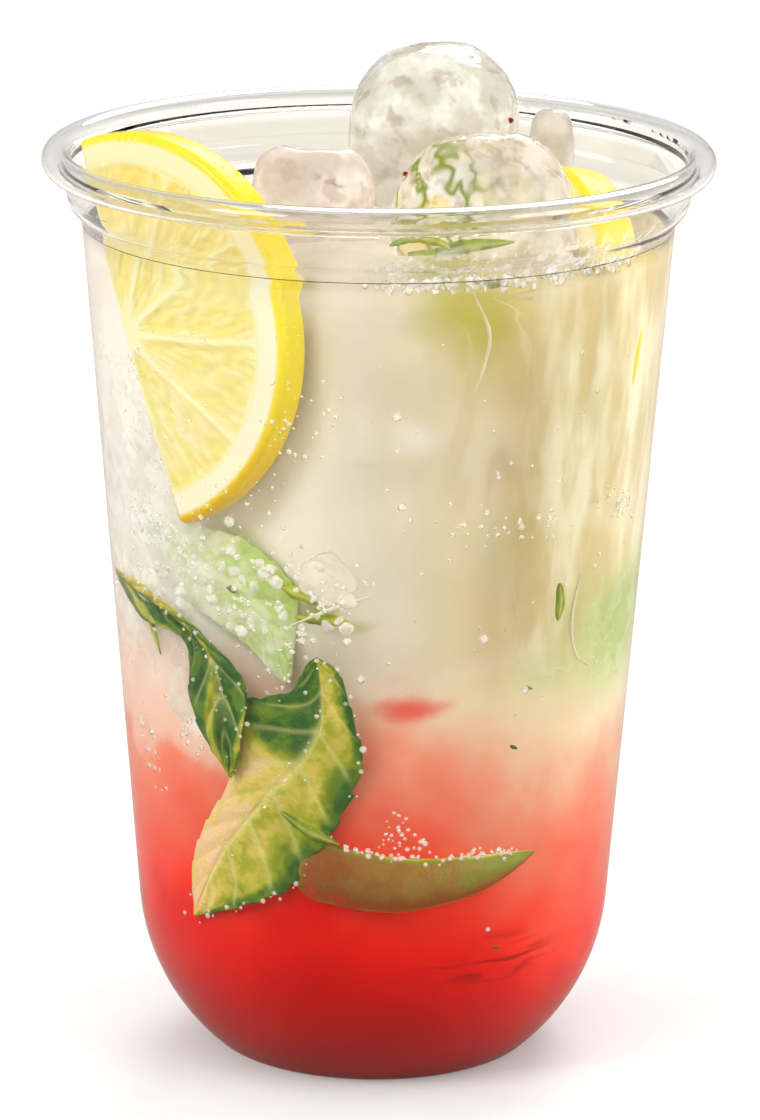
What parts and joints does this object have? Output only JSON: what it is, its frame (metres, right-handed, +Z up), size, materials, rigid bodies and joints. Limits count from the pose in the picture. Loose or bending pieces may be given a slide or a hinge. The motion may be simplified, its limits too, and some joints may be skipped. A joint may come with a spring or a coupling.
{
  "type": "mojito in a clear plastic cup",
  "caption": "Clear plastic cup with a rolled rim, holding an iced mojito that goes from red to pale cream, with lemon slices, mint and lime.",
  "frame": {"origin": "centre of the foot ring, on the surface the cup stands on", "axes": "+Z up along the cup's axis, -Y towards the front, +X to the right"},
  "size_m": [0.095, 0.095, 0.1433],
  "materials": {
    "cup": "clear thin plastic, glossy",
    "syrup": "deep red drink, cloudy",
    "soda": "pale cream fizzy drink",
    "lemon": "wet lemon with bright yellow zest and paler pulp",
    "ice": "melting clear ice, wet"
  },
  "bodies": {
    "root": {"cup": "cup", "syrup_layer": "syrup", "soda_layer": "soda", "lemon_left": "lemon", "lemon_right": "lemon", "ice_back": "ice", "ice_front": "ice", "ice_left": "ice", "ice_chip": "ice"}
  },
  "joints": []
}
